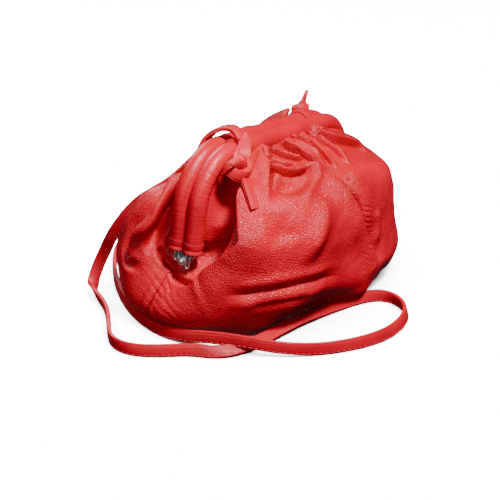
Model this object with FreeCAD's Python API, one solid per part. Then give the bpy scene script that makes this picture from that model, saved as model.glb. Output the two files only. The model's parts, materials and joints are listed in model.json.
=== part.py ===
import FreeCAD, Part
import math
import os
from FreeCAD import Placement, Rotation, Vector

# Gathered leather frame bag with a long flat strap, resting on its base.
# Millimetres, +Z up, +X from the near hinge to the far hinge, -Y to the front.
# The origin is the middle of the base. Each sub-part is one STEP file in parts/.

# --- the hinged frame, in its own upright system with the hinge axis on X ---
HALF_SPAN = 82.0        # hinge centre to the middle of the bag
ARCH_HEIGHT = 67.0      # hinge axis to the middle of the top bar
CORNER_RADIUS = 30.0    # of the arch, on its centre line
HINGE_Z = 37.0          # hinge axis above the base, halfway between the hinges
FRAME_TILT = 8.5        # degrees; the relaxed bag carries its near end higher
FRAME_LEAN = 2.5        # degrees; the closed frame leans to the front

# --- the two padded rolls that cover the frame halves ---
ROLL_RADIUS = 6.0
ROLL_Y = 5.6            # centre of each roll from the closing plane
ROLL_WALL = 1.2
ROLL_END = 6.5          # hem of each roll above the hinge axis
MEET_GAP = 0.15         # each roll stops this far from the closing plane
PADDING_RADIUS = 4.75
PADDING_END = 10.0

# --- steel bows, rivets, washers and closing magnets ---
BOW_THICK = 2.0         # across the arch
BOW_WIDE = 5.0          # front to back
BOW_OFFSET = 1.1        # the two bows lie side by side at the hinge
EYE_RADIUS = 4.0
RIVET_RADIUS = 1.5
RIVET_PLAY = 0.05
RIVET_HEAD_RADIUS = 2.8
RIVET_HEAD = 1.2
WASHER_THICK = 0.6
RIVET_GAP = 0.1
MAGNET_RADIUS = 2.2
MAGNET_THICK = 1.4
MAGNET_Y = 1.5          # face of each magnet from the closing plane
MAGNET_X = 26.0

# --- leather, lining and pocket, nested skins of the pouch ---
LEATHER = 1.5
LINING_GAP = 0.3
LINING = 0.8
POCKET_GAP = 0.3
POCKET = 0.8
ROLL_CLEARANCE = 0.35   # panels and linings from the rolls
MOUTH = 8.8             # half width of the gap between the upper edges of the two halves
MOUTH_FLOOR = -7.0      # the gap ends this far below the hinge axis
FACING_THICK = 0.8
FACING_DEEP = 13.0
FACING_Y = 4.6

# Sections of the pouch, from the base up: height, length to the near and to the far
# end, depth to the front and to the rear, pinch at the ends, share of the tilt, turn.
SECTIONS = [
    (0.0, 80.0, 76.0, 46.0, 42.0, 0.00, 0.00, -12.0),
    (5.0, 91.0, 90.0, 56.0, 52.0, 0.00, 0.05, -12.0),
    (14.0, 100.0, 103.0, 69.0, 62.0, 0.02, 0.16, -11.0),
    (28.0, 104.0, 107.0, 74.0, 65.0, 0.14, 0.50, -8.0),
    (45.0, 107.0, 109.0, 72.0, 61.0, 0.32, 0.90, -4.0),
    (62.0, 105.0, 109.0, 70.0, 51.0, 0.34, 1.00, -1.0),
    (78.0, 97.0, 107.0, 63.0, 37.0, 0.34, 1.00, 0.0),
    (90.0, 87.0, 98.0, 45.0, 26.0, 0.30, 1.00, 0.0),
    (98.0, 74.0, 85.0, 26.0, 19.0, 0.20, 1.00, 0.0),
    (102.0, 62.0, 67.0, 13.0, 13.0, 0.08, 1.00, 0.0),
]
SECTION_POWER = 2.4     # fullness of the sections' outline
SECTION_POINTS = 36
PINCH_WIDTH = 0.24      # share of the depth that the pinch at each end takes
HOLLOW_WIDTH = 0.42     # the same in the deep hollow beside the front roll's near leg
BASE_INWARD = 0.2       # inward share of an inset at the base's edge
ROOF_INWARD = 0.3       # and at the roof's edge

# --- strap: a flat 8 by 3 mm strap, here a tube of the same section area ---
STRAP_TUBE_RADIUS = 2.76
STRAP_ARC_SHARE = 0.45
KNOT_RADIUS = 6.0
LOOP_WIDE = 10.0
LOOP_THICK = 1.5
LOOP_GAP = 0.25
LOOP_DROP = 2.0         # the loop reaches this far below the roll's middle
TAIL_SIZE = (9.0, 2.6, 18.0)

# From the far knot down behind the pouch, along the floor round to the front,
# through the loop on the right, back under itself to the left and up the rear lobe.
STRAP_RUN = [
    (69, 23, 93), (75, 38, 84), (82, 54, 71), (87, 70, 54), (88, 85, 35), (85, 96, 18),
    (76, 104, 6), (60, 109, 4), (38, 112, 4), (14, 112, 4), (-8, 108, 4), (-28, 99, 4),
    (-46, 85, 4), (-64, 68, 4), (-80, 48, 4), (-91, 28, 4), (-97, 7, 4), (-96, -12, 6),
    (-92, -32, 9), (-86, -50, 9), (-77, -67, 6), (-63, -85, 4), (-44, -101, 4),
    (-23, -111, 4), (-3, -112, 4), (13, -107, 4), (23, -95, 4), (24, -82, 4), (14, -73, 4),
    (-2, -66, 4), (-24, -59, 4), (-48, -54, 4), (-70, -51, 3), (-88, -46, 2.8),
    (-100, -36, 3), (-106, -21, 4), (-118, -7, 4), (-127, 8, 4), (-126, 24, 4),
    (-114, 36, 4), (-99, 48, 4), (-86, 60, 4), (-76, 74, 4.5), (-69, 86, 8), (-66, 87, 20),
    (-64, 81, 36), (-61, 73, 52), (-60, 62, 66), (-62, 50, 78), (-61, 39, 89),
    (-56, 28, 99), (-51, 22, 106),
]
# From there up over both rolls to the near loop.
STRAP_NEAR_END = [
    (-51, 22, 106), (-46, 16, 113), (-41.5, 9, 121), (-37.5, 1, 125), (-35, -5.5, 125),
    (-36, -11, 122), (-37.5, -12.8, 119.2),
]

REST = Placement(Vector(0, 0, HINGE_Z),
                 Rotation(Vector(0, 1, 0), FRAME_TILT) * Rotation(Vector(1, 0, 0), FRAME_LEAN))


def at_rest(shape):
    """Places a shape that was built in the frame's upright system."""
    placed = shape.copy()
    placed.Placement = REST.multiply(placed.Placement)
    return placed


def arch_path(y, foot, inward=0.0):
    """Centre line of a frame half from foot to foot, moved towards the inside by inward."""
    half = HALF_SPAN - inward
    top = ARCH_HEIGHT - inward
    radius = CORNER_RADIUS - inward
    diagonal = radius * math.sqrt(0.5)
    edges = [Part.LineSegment(Vector(-half, y, foot), Vector(-half, y, top - radius))]
    for side in (-1, 1):
        centre = Vector(side * (half - radius), y, top - radius)
        outer = centre + Vector(side * radius, 0, 0)
        middle = centre + Vector(side * diagonal, 0, diagonal)
        upper = centre + Vector(0, 0, radius)
        if side < 0:
            edges.append(Part.Arc(outer, middle, upper))
            edges.append(Part.LineSegment(upper, Vector(half - radius, y, top)))
        else:
            edges.append(Part.Arc(upper, middle, outer))
    edges.append(Part.LineSegment(Vector(half, y, top - radius), Vector(half, y, foot)))
    return Part.Wire([edge.toShape() for edge in edges])


def round_arch(radius, y, foot):
    """A rod of this radius along the arch."""
    path = arch_path(y, foot)
    profile = Part.Wire(Part.makeCircle(radius, Vector(-HALF_SPAN, y, foot), Vector(0, 0, 1)))
    return path.makePipeShell([profile], True, False)


def flat_arch(thick, wide, y, foot, inward):
    """A strip along the arch, thick across it and wide from front to back."""
    path = arch_path(y, foot, inward)
    x = -HALF_SPAN + inward
    corners = [Vector(x + sx * thick / 2, y + sy * wide / 2, foot)
               for sx, sy in ((-1, -1), (1, -1), (1, 1), (-1, 1))]
    profile = Part.makePolygon(corners + corners[:1])
    return path.makePipeShell([profile], True, False)


def bow(side):
    """A steel bow: the strip inside one roll with a drilled eye at each hinge."""
    inward = -side * BOW_OFFSET
    y = side * ROLL_Y
    leg_end = ROLL_END
    body = flat_arch(BOW_THICK, BOW_WIDE, y, leg_end, inward)
    # The cranked ends cross from the roll's middle to the hinge axis.
    outline = [(side * (ROLL_Y + BOW_WIDE / 2), leg_end), (side * (ROLL_Y - BOW_WIDE / 2), leg_end),
               (-side * 3.2, 2.4), (side * 3.2, -2.4)]
    for end in (-1, 1):
        x = end * (HALF_SPAN - inward) - BOW_THICK / 2
        points = [Vector(x, py, pz) for py, pz in outline]
        crank = Part.Face(Part.makePolygon(points + points[:1])).extrude(Vector(BOW_THICK, 0, 0))
        eye = Part.makeCylinder(EYE_RADIUS, BOW_THICK, Vector(x, 0, 0), Vector(1, 0, 0))
        body = body.fuse([crank, eye]).removeSplitter()
        play = RIVET_PLAY if side < 0 else 0.0
        hole = Part.makeCylinder(RIVET_RADIUS + play, BOW_THICK, Vector(x, 0, 0), Vector(1, 0, 0))
        body = body.cut(hole)
    return body


def magnets(side):
    """Two disc magnets just inside a roll, facing the other roll."""
    y = side * MAGNET_Y
    discs = [Part.makeCylinder(MAGNET_RADIUS, MAGNET_THICK, Vector(x, y, ARCH_HEIGHT),
                               Vector(0, side, 0)) for x in (-MAGNET_X, MAGNET_X)]
    return Part.makeCompound(discs)


def roll_cover(side):
    """Leather sleeve of one roll, pressed flat where it meets the other roll."""
    y = side * ROLL_Y
    sleeve = round_arch(ROLL_RADIUS, y, ROLL_END).cut(
        round_arch(ROLL_RADIUS - ROLL_WALL, y, ROLL_END))
    return sleeve.cut(beyond_plane(-side, -MEET_GAP))


def beyond_plane(side, start):
    """Everything on one side of the closing plane, from start outwards."""
    low = start if side > 0 else -start - 200
    return Part.makeBox(400, 200, 300, Vector(-200, low, -100))


def padding(side):
    """Foam round the bow, with pockets for the magnets."""
    foam = round_arch(PADDING_RADIUS, side * ROLL_Y, PADDING_END)
    foam = foam.cut(flat_arch(BOW_THICK, BOW_WIDE, side * ROLL_Y, PADDING_END, -side * BOW_OFFSET))
    return foam.cut(magnets(side))


def facing(side):
    """Leather facing that hangs inside the mouth under a roll."""
    inward = ROLL_RADIUS + ROLL_CLEARANCE + FACING_DEEP / 2
    return flat_arch(FACING_DEEP, FACING_THICK, side * FACING_Y, PADDING_END, inward)


def hinge_stack(end):
    """The rivet and the washer of one hinge, as the near or far pair."""
    inner = HALF_SPAN - BOW_OFFSET - BOW_THICK / 2
    outer = HALF_SPAN + BOW_OFFSET + BOW_THICK / 2
    washer_start = inner - RIVET_GAP - WASHER_THICK
    head_start = washer_start - RIVET_HEAD

    def disc(radius, start, stop):
        x = start if end > 0 else -stop
        return Part.makeCylinder(radius, stop - start, Vector(x, 0, 0), Vector(1, 0, 0))

    rivet = disc(RIVET_RADIUS, head_start, outer + RIVET_HEAD)
    rivet = rivet.fuse([disc(RIVET_HEAD_RADIUS, head_start, washer_start),
                        disc(RIVET_HEAD_RADIUS, outer, outer + RIVET_HEAD)]).removeSplitter()
    washer = disc(EYE_RADIUS - 0.5, washer_start, inner - RIVET_GAP)
    washer = washer.cut(disc(RIVET_RADIUS, washer_start, inner - RIVET_GAP))
    return rivet, washer


def inset_shares(index):
    """How an inset along the surface's normal divides into inward and upward parts."""
    if index == 0:
        return BASE_INWARD, 1.0
    if index == len(SECTIONS) - 1:
        return ROOF_INWARD, -1.0
    below, above = SECTIONS[index - 1], SECTIONS[index + 1]
    rise = above[0] - below[0]
    spread = sum(above[column] - below[column] for column in (1, 2, 3, 4)) / 4
    slant = math.hypot(rise, spread)
    return rise / slant, spread / slant


def section_wire(index, inset):
    """Closed outline of one section of the pouch, inset from its outside."""
    height, near, far, front, rear, pinch, tilt_share, turn = SECTIONS[index]
    inward, upward = inset_shares(index)
    height += inset * upward
    lay = Placement(Vector(0, 0, HINGE_Z),
                    Rotation(Vector(0, 1, 0), tilt_share * FRAME_TILT)
                    * Rotation(Vector(1, 0, 0), tilt_share * FRAME_LEAN)
                    * Rotation(Vector(0, 0, 1), turn))
    points = []
    for step in range(SECTION_POINTS):
        even = 2 * math.pi * step / SECTION_POINTS
        angle = even - 0.3 * math.sin(2 * even)     # closer together at the two ends
        along, across = math.cos(angle), math.sin(angle)
        reach = near if along < 0 else far
        depth = front if across < 0 else rear
        width = HOLLOW_WIDTH if along < 0 and across < 0 else PINCH_WIDTH
        radius = (abs(along / reach) ** SECTION_POWER
                  + abs(across / depth) ** SECTION_POWER) ** (-1 / SECTION_POWER)
        radius *= 1 - pinch * math.exp(-(across / width) ** 2)
        radius -= inset * inward
        points.append(lay.multVec(Vector(radius * along, radius * across, height - HINGE_Z)))
    curve = Part.BSplineCurve()
    knots = [float(step) for step in range(SECTION_POINTS + 1)]
    curve.interpolate(Points=points, PeriodicFlag=True, Parameters=knots)
    return Part.Wire(curve.toShape())


def pouch_body(inset):
    """The pouch as a full solid, its surface inset from the outside of the leather."""
    return Part.makeLoft([section_wire(index, inset) for index in range(len(SECTIONS))], True, False)


def half_skin(outside, thick, side):
    """Front (side -1) or rear (side +1) half of one layer, clear of the mouth and the rolls."""
    low = 0.0 if side > 0 else -200.0
    layer = pouch_body(outside).cut(pouch_body(outside + thick))
    layer = layer.common(Part.makeBox(400, 200, 300, Vector(-200, low, -50)))
    slot = Part.makeBox(300, 2 * MOUTH, 200, Vector(-150, -MOUTH, MOUTH_FLOOR))
    layer = layer.cut(at_rest(slot))
    for roll_side in (side, -side):
        roll = round_arch(ROLL_RADIUS + ROLL_CLEARANCE, roll_side * ROLL_Y, ROLL_END - ROLL_CLEARANCE)
        layer = layer.cut(at_rest(roll))
    return max(layer.Solids, key=lambda solid: solid.Volume)


def pocket():
    """Slip pocket sewn flat on the rear lining."""
    outside = LEATHER + LINING_GAP + LINING + POCKET_GAP
    layer = pouch_body(outside).cut(pouch_body(outside + POCKET))
    return layer.common(Part.makeBox(100, 80, 40, Vector(-50, 20, 28)))


def strap_tube(route, name):
    """Round tube along a route of straight runs joined by tangent arcs."""
    points = [Vector(*point) for point in route]
    edges = []
    radii = []
    start = points[0]
    for before, corner, after in zip(points, points[1:], points[2:]):
        to_before = before - corner
        to_after = after - corner
        reach = STRAP_ARC_SHARE * min(to_before.Length, to_after.Length)
        to_before.normalize()
        to_after.normalize()
        half_angle = to_before.getAngle(to_after) / 2
        radius = reach * math.tan(half_angle)
        bisector = (to_before + to_after).normalize()
        first = corner + to_before * reach
        last = corner + to_after * reach
        middle = corner + bisector * (reach / math.cos(half_angle) - radius)
        edges.append(Part.LineSegment(start, first).toShape())
        edges.append(Part.Arc(first, middle, last).toShape())
        radii.append(radius)
        start = last
    edges.append(Part.LineSegment(start, points[-1]).toShape())
    path = Part.Wire(edges)
    profile = Part.Wire(Part.makeCircle(STRAP_TUBE_RADIUS, points[0], points[1] - points[0]))
    tube = path.makePipeShell([profile], True, False)
    expected = math.pi * STRAP_TUBE_RADIUS ** 2 * path.Length
    print(f"{name}: length {path.Length:.0f} mm, volume / (section x length) "
          f"{tube.Volume / expected:.4f}")
    print("  bend radii", " ".join(f"{radius:.0f}" for radius in radii))
    return tube


def loop(side, x):
    """Turn of the strap round one roll, open where the two rolls meet."""
    y = side * ROLL_Y
    inner = ROLL_RADIUS + LOOP_GAP
    low = Vector(x - LOOP_WIDE / 2, y, ARCH_HEIGHT)
    band = Part.makeCylinder(inner + LOOP_THICK, LOOP_WIDE, low, Vector(1, 0, 0))
    band = band.cut(Part.makeCylinder(inner, LOOP_WIDE, low, Vector(1, 0, 0)))
    below = Part.makeBox(400, 200, 200, Vector(-200, -100, ARCH_HEIGHT - LOOP_DROP - 200))
    return band.cut([beyond_plane(-side, -1.0), below])


def flat_tail(size, base, direction, face):
    """Cut end of the strap: a flat piece from base along direction, its face along face."""
    wide, thick, length = size
    piece = Part.makeBox(wide, thick, length, Vector(-wide / 2, -thick / 2, 0))
    piece = piece.makeFillet(0.8, [edge for edge in piece.Edges
                                   if abs(edge.tangentAt(edge.FirstParameter).z) > 0.9])
    piece.Placement = Placement(base, Rotation(Vector(0, 0, 0), face, direction, "ZYX"))
    return piece


def build():
    parts = {}
    for side, word in ((-1, "front"), (1, "rear")):
        parts[f"{word}_panel"] = half_skin(0.0, LEATHER, side)
        parts[f"{word}_lining"] = half_skin(LEATHER + LINING_GAP, LINING, side)
        parts[f"{word}_bow"] = at_rest(bow(side))
        parts[f"{word}_padding"] = at_rest(padding(side))
        parts[f"{word}_roll_cover"] = at_rest(roll_cover(side))
        parts[f"{word}_magnets"] = at_rest(magnets(side))
        parts[f"{word}_mouth_facing"] = at_rest(facing(side))
    parts["inner_pocket"] = pocket()
    for end, word in ((-1, "near"), (1, "far")):
        rivet, washer = hinge_stack(end)
        parts[f"hinge_rivet_{word}"] = at_rest(rivet)
        parts[f"hinge_washer_{word}"] = at_rest(washer)
    parts["near_loop"] = at_rest(loop(-1, -46.0))
    parts["near_knot"] = at_rest(Part.makeSphere(KNOT_RADIUS, Vector(-66, -19.3, 62.5)))
    parts["near_tail"] = at_rest(flat_tail(TAIL_SIZE, Vector(-66, -27, 58), Vector(-4, -14, -10),
                                           Vector(0, -10, 14)))
    parts["far_loop"] = at_rest(loop(1, 46.0))
    parts["far_knot"] = at_rest(Part.makeSphere(KNOT_RADIUS, Vector(62, 17.8, 70.5)))
    parts["far_tail"] = at_rest(flat_tail((5.0, 2.6, 10.0), Vector(64, 18, 77), Vector(5, 0, 8),
                                          Vector(0, 1, 0)))
    parts["strap_run"] = strap_tube(STRAP_RUN, "strap_run")
    parts["strap_near_end"] = strap_tube(STRAP_NEAR_END, "strap_near_end")
    return parts


os.makedirs("parts", exist_ok=True)
for node, shape in build().items():
    assert shape.isValid(), node
    shape.exportStep(f"parts/{node}.step")
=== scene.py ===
import json
import math

import bpy
import numpy as np
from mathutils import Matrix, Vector


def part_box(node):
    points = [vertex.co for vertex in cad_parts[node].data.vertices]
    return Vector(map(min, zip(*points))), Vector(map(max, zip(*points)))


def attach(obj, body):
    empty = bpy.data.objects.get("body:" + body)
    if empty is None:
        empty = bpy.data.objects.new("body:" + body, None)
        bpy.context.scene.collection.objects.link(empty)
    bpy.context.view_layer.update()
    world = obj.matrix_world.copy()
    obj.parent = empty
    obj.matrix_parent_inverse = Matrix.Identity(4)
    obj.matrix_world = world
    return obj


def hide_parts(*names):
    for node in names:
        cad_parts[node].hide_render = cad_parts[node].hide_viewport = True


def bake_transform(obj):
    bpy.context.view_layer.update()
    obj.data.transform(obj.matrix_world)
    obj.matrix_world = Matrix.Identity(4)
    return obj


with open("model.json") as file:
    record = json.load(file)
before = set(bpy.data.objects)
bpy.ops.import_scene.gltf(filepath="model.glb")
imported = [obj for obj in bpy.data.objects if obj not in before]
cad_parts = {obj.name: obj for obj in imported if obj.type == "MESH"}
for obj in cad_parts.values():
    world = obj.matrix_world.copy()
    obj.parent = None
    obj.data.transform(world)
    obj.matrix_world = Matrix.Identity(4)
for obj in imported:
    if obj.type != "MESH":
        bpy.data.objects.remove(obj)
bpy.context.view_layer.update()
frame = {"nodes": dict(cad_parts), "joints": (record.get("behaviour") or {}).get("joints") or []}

# Everything is in metres in the frame of the part: +Z up, +X from the near hinge to
# the far hinge, -Y to the front. Lengths written in millimetres are scaled by MM.
MM = 0.001
SCENE = bpy.context.scene

HINGE = frame["joints"][0]
TILT = math.asin(-HINGE["axis"][2])
LEAN = math.radians(2.5)
HINGE_Z = 37.0
HALF_SPAN = 82.0
ARCH_HEIGHT = 67.0
CORNER_RADIUS = 30.0
ROLL_RADIUS = 6.0
ROLL_Y = 5.6
ROLL_END = 6.5
ROLL_SIDES = 64
ROLL_RINGS = 560
POUCH = "pouch"
FRONT = "front_frame"

STRAP_WIDE = 8.0
STRAP_THICK = 3.0
LEATHER_THICK = 1.2
LINING_THICK = 0.5
FACING_THICK = 0.8


# ---- camera
def make_camera():
    """Looks at the near end and the front from a little above, with a long lens."""
    azimuth, elevation, distance = math.radians(-55.65), math.radians(26.0), 1.1488
    target = Vector((-0.0091, 0.0, 0.027))
    back = Vector((math.sin(azimuth) * math.cos(elevation),
                   -math.cos(azimuth) * math.cos(elevation), math.sin(elevation)))
    data = bpy.data.cameras.new("camera")
    data.lens = 126.0
    data.sensor_width = 36.0
    camera = bpy.data.objects.new("camera", data)
    camera.location = target + back * distance
    camera.rotation_euler = back.to_track_quat("Z", "Y").to_euler()
    SCENE.collection.objects.link(camera)
    SCENE.camera = camera


# ---- small helpers
def add_mesh(name, points, faces, material, smooth=True):
    """A new mesh object from points in millimetres."""
    mesh = bpy.data.meshes.new(name)
    mesh.from_pydata([tuple(point * MM) for point in np.asarray(points, float)], [], faces)
    mesh.update()
    piece = bpy.data.objects.new(name, mesh)
    SCENE.collection.objects.link(piece)
    mesh.materials.append(material)
    if smooth:
        mesh.polygons.foreach_set("use_smooth", [True] * len(mesh.polygons))
    return piece


def grid_faces(rows, columns, closed=False, start=0):
    """Quads of a grid of points stored row by row; closed joins the last column to the first."""
    faces = []
    span = columns if closed else columns - 1
    for row in range(rows - 1):
        for column in range(span):
            right = (column + 1) % columns
            a = start + row * columns + column
            b = start + row * columns + right
            faces.append((a, b, b + columns, a + columns))
    return faces


def tube_faces(rings, sides, start=0):
    """The faces of a tube of rings, with a flat face across each end."""
    last = start + (rings - 1) * sides
    ends = [tuple(reversed(range(start, start + sides))), tuple(range(last, last + sides))]
    return grid_faces(rings, sides, closed=True, start=start) + ends


def neighbour_mean(grid):
    """Mean of the four neighbours of each inner point of a grid."""
    return (grid[:-2, 1:-1] + grid[2:, 1:-1] + grid[1:-1, :-2] + grid[1:-1, 2:]) / 4


def stand_in(piece, body, node):
    """The piece rides on a body and takes the place of a CAD node."""
    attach(piece, body)
    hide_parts(node)


def circle(sides):
    """Angles once round, without the last one again."""
    return np.linspace(0, 2 * math.pi, sides, endpoint=False)


def bell(value, width):
    """A bell-shaped weight: 1 at zero, falling away over the width."""
    return np.exp(-(value / width) ** 2)


def unit(vectors):
    """The vectors at length one."""
    vectors = np.asarray(vectors, float)
    return vectors / np.maximum(np.linalg.norm(vectors, axis=-1, keepdims=True), 1e-9)


def smoothstep(low, high, value):
    """Rises smoothly from 0 at low to 1 at high."""
    t = np.clip((value - low) / (high - low), 0, 1)
    return t * t * (3 - 2 * t)


def frame_matrix():
    """How the frame's upright system is turned where the bag lies: tilted, and leaning forward."""
    t, a = TILT, LEAN
    about_y = np.array([[math.cos(t), 0, math.sin(t)], [0, 1, 0], [-math.sin(t), 0, math.cos(t)]])
    about_x = np.array([[1, 0, 0], [0, math.cos(a), -math.sin(a)], [0, math.sin(a), math.cos(a)]])
    return about_y @ about_x


FRAME_TURN = frame_matrix()


def from_frame(points):
    """Points of the frame's upright system, hinge axis on X, placed where the bag lies."""
    return np.asarray(points, float) @ FRAME_TURN.T + np.array([0, 0, HINGE_Z])


def to_frame(points):
    """Placed points, back in the frame's upright system."""
    return (np.asarray(points, float) - np.array([0, 0, HINGE_Z])) @ FRAME_TURN


# ---- materials
class Nodes:
    """Short calls for building one node material."""

    def __init__(self, name):
        self.material = bpy.data.materials.new(name)
        self.material.use_nodes = True
        self.tree = self.material.node_tree
        self.shader = self.tree.nodes["Principled BSDF"]
        self.place = self.node("ShaderNodeTexCoord").outputs["Object"]

    def node(self, kind, inputs=None, **settings):
        """A new node with the values of its inputs and its other settings."""
        made = self.tree.nodes.new(kind)
        for key, value in settings.items():
            setattr(made, key, value)
        for key, value in (inputs or {}).items():
            made.inputs[key].default_value = value
        return made

    def link(self, source, target):
        self.tree.links.new(source, target)

    def noise(self, scale, detail=3.0, roughness=0.5, place=None):
        values = {"Scale": scale, "Detail": detail, "Roughness": roughness}
        made = self.node("ShaderNodeTexNoise", values)
        self.link(place or self.place, made.inputs["Vector"])
        return made.outputs["Fac"]

    def cells(self, scale, feature="DISTANCE_TO_EDGE", place=None):
        made = self.node("ShaderNodeTexVoronoi", feature=feature)
        made.inputs["Scale"].default_value = scale
        self.link(place or self.place, made.inputs["Vector"])
        return made.outputs["Distance"]

    def ramp(self, value, stops):
        made = self.node("ShaderNodeValToRGB")
        ramp = made.color_ramp
        while len(ramp.elements) < len(stops):
            ramp.elements.new(0.5)
        for element, (position, colour) in zip(ramp.elements, stops):
            element.position = position
            element.color = (*colour, 1.0)
        self.link(value, made.inputs["Fac"])
        return made.outputs["Color"]

    def spread(self, value, low, high, to_low, to_high):
        """The value, moved from one range to another."""
        made = self.node("ShaderNodeMapRange", {"From Min": low, "From Max": high,
                                                "To Min": to_low, "To Max": to_high})
        self.link(value, made.inputs["Value"])
        return made.outputs["Result"]

    def math(self, operation, first, second):
        made = self.node("ShaderNodeMath", operation=operation)
        for socket, value in zip(made.inputs, (first, second)):
            if isinstance(value, (int, float)):
                socket.default_value = value
            else:
                self.link(value, socket)
        return made.outputs[0]

    def bump(self, height, distance, under=None):
        made = self.node("ShaderNodeBump", {"Distance": distance, "Strength": 1.0})
        self.link(height, made.inputs["Height"])
        if under is not None:
            self.link(under, made.inputs["Normal"])
        return made.outputs["Normal"]

    def warped(self, scale, amount):
        """The place, pushed about by noise, so that cells are not straight-sided."""
        noise = self.node("ShaderNodeTexNoise", {"Scale": scale})
        self.link(self.place, noise.inputs["Vector"])
        mix = self.node("ShaderNodeVectorMath", {1: (amount, amount, amount)},
                        operation="MULTIPLY_ADD")
        self.link(noise.outputs["Color"], mix.inputs[0])
        self.link(self.place, mix.inputs[2])
        return mix.outputs[0]

    def set(self, **values):
        for key, value in values.items():
            self.shader.inputs[key.replace("_", " ")].default_value = value

    def finish(self, colour=None, roughness=None, normal=None):
        for socket, source in (("Base Color", colour), ("Roughness", roughness), ("Normal", normal)):
            if source is not None:
                self.link(source, self.shader.inputs[socket])
        return self.material


RED_DEEP = (0.36, 0.0001, 0.007)
RED = (0.50, 0.0003, 0.012)
RED_BRIGHT = (0.60, 0.0008, 0.016)


def leather(name, grain, grain_depth, roughness, wrinkle=0.0):
    """Red leather: pebbles of about 1/grain metres, fine pores, soft colour changes, and painted shade
    in the valleys between the pebbles.
    """
    nodes = Nodes(name)
    place = nodes.warped(grain * 0.45, 0.9 / grain)
    pebbles = nodes.cells(grain, place=place)
    rounded = nodes.spread(pebbles, 0.0, 0.35, 0.0, 1.0)
    fine = nodes.noise(grain * 3.2, 4.0, 0.6)
    patches = nodes.noise(28.0, 2.0)
    # The grain is bold in some places and almost stretched away in others.
    bold = nodes.spread(nodes.noise(22.0, 1.0), 0.35, 0.65, 0.35, 1.0)
    height = nodes.math("MULTIPLY", rounded, bold)
    height = nodes.math("ADD", height, nodes.math("MULTIPLY", fine, 0.28))
    normal = nodes.bump(height, grain_depth)
    if wrinkle:
        creases = nodes.noise(260.0, 5.0, 0.62)
        normal = nodes.bump(creases, wrinkle, under=normal)
    colour = nodes.ramp(patches, [(0.25, RED_DEEP), (0.48, RED), (0.75, RED_BRIGHT)])
    # Painted shade: the colour is darkened in the low valleys between the pebbles, where the bump sinks
    # in.
    colour_with_painted_shade = nodes.node("ShaderNodeMix", {"Factor": 0.35}, data_type="RGBA", blend_type="MULTIPLY")
    nodes.link(colour, colour_with_painted_shade.inputs["A"])
    nodes.link(nodes.ramp(rounded, [(0.0, (0.55, 0.4, 0.4)), (0.4, (1, 1, 1))]), colour_with_painted_shade.inputs["B"])
    rough = nodes.spread(nodes.noise(90.0, 3.0), 0.3, 0.7, roughness - 0.06, roughness + 0.07)
    nodes.set(Specular_IOR_Level=0.30)
    return nodes.finish(colour_with_painted_shade.outputs["Result"], rough, normal)


def thread_material():
    """Twisted sewing thread, a little brighter than the leather."""
    nodes = Nodes("thread")
    twist = nodes.noise(2600.0, 2.0)
    colour = nodes.ramp(twist, [(0.3, (0.45, 0.002, 0.012)), (0.7, (0.70, 0.01, 0.03))])
    nodes.set(Sheen_Weight=0.2)
    return nodes.finish(colour, nodes.spread(twist, 0, 1, 0.5, 0.7), nodes.bump(twist, 0.0001))


def lining_cloth():
    """A plain dark red weave."""
    nodes = Nodes("lining_cloth")
    threads = []
    for direction in "XZ":
        wave = nodes.node("ShaderNodeTexWave", {"Scale": 900.0, "Distortion": 1.5},
                          wave_type="BANDS", bands_direction=direction)
        nodes.link(nodes.place, wave.inputs["Vector"])
        threads.append(wave.outputs["Fac"])
    cloth = nodes.math("MULTIPLY", *threads)
    colour = nodes.ramp(cloth, [(0.1, (0.16, 0.012, 0.018)), (0.8, (0.34, 0.03, 0.04))])
    nodes.set(Sheen_Weight=0.3)
    return nodes.finish(colour, nodes.spread(cloth, 0, 1, 0.75, 0.95), nodes.bump(cloth, 0.0002))


def metal(name, colour, roughness, scratch):
    """Metal with fine upright scratches."""
    nodes = Nodes(name)
    stretched = nodes.node("ShaderNodeMapping", {"Scale": (1.0, 1.0, 0.08)})
    nodes.link(nodes.place, stretched.inputs["Vector"])
    lines = nodes.noise(scratch, 4.0, 0.6, place=stretched.outputs["Vector"])
    darker = tuple(value * 0.8 for value in colour)
    nodes.set(Metallic=1.0)
    return nodes.finish(nodes.ramp(lines, [(0.3, darker), (0.6, colour)]),
                        nodes.spread(lines, 0.3, 0.7, roughness, roughness + 0.12),
                        nodes.bump(lines, 0.00003))


def foam():
    """Pale open foam, with painted shade darkening its pores."""
    nodes = Nodes("padding_foam")
    pores = nodes.cells(1500.0, feature="F1")
    # Painted shade: the colour is darker inside the pores, where the bump sinks in.
    colour = nodes.ramp(pores, [(0.1, (0.5, 0.48, 0.42)), (0.6, (0.85, 0.83, 0.76))])
    return nodes.finish(colour, nodes.spread(pores, 0, 1, 0.85, 1.0), nodes.bump(pores, 0.0003))


def floor_material():
    """White paper with a faint fibre."""
    nodes = Nodes("floor_paper")
    fibre = nodes.noise(40.0, 4.0)
    colour = nodes.ramp(fibre, [(0.3, (0.93, 0.93, 0.93)), (0.7, (0.96, 0.96, 0.96))])
    return nodes.finish(colour, nodes.spread(fibre, 0, 1, 0.55, 0.75), nodes.bump(fibre, 0.0001))


POUCH_LEATHER = leather("pouch_leather", 620.0, 0.00032, 0.42, wrinkle=0.00016)
ROLL_LEATHER = leather("roll_leather", 900.0, 0.00012, 0.34)
STRAP_LEATHER = leather("strap_leather", 1000.0, 0.00012, 0.38)
THREAD = thread_material()
LINING = lining_cloth()
NICKEL = metal("polished_nickel", (0.90, 0.90, 0.92), 0.24, 700.0)
STEEL = metal("spring_steel", (0.34, 0.34, 0.36), 0.34, 1200.0)
FOAM = foam()


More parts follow.
